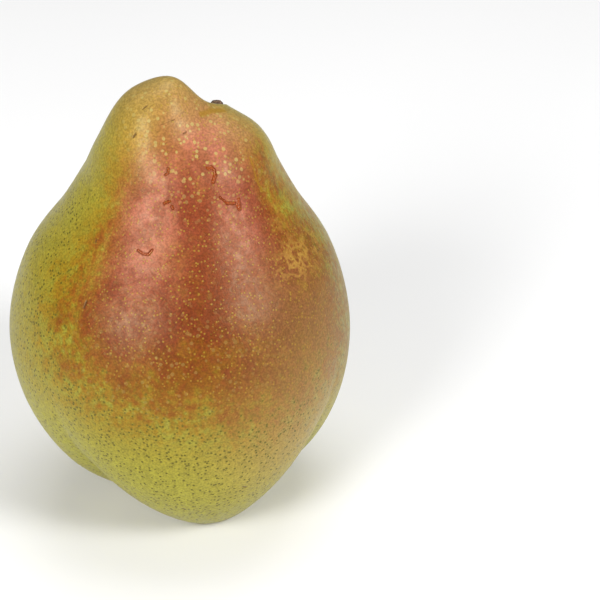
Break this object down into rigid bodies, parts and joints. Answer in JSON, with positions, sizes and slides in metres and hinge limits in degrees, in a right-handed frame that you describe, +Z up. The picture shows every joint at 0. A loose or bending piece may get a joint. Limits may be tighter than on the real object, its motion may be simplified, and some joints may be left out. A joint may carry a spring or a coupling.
{
  "type": "pear",
  "caption": "Ripe blushed pear standing on the lobes of its calyx end, with a fleshy knob beside a short stem stub and dried sepals in the basin.",
  "frame": {"origin": "centre of the pear's box, on the plane that its lobes stand on", "axes": "+Z up from the calyx lobes to the stem end; -Y is the side with the broad front lobe and the fleshy knob; +X is to the right seen from there"},
  "size_m": [0.082, 0.0804, 0.1094],
  "materials": {
    "skin": "smooth waxy yellow-green skin with a rust-red blush, pale lenticels on the blush and dark dots on the green",
    "bark": "dull dark brown woody stalk",
    "dry_sepal": "dull dry dark brown leaf",
    "dry_flower": "dull dry grey-brown tuft"
  },
  "bodies": {
    "root": {"fruit": "skin", "stem": "bark", "sepal_1": "dry_sepal", "sepal_2": "dry_sepal", "sepal_3": "dry_sepal", "sepal_4": "dry_sepal", "sepal_5": "dry_sepal", "flower_remnant": "dry_flower"}
  },
  "joints": []
}
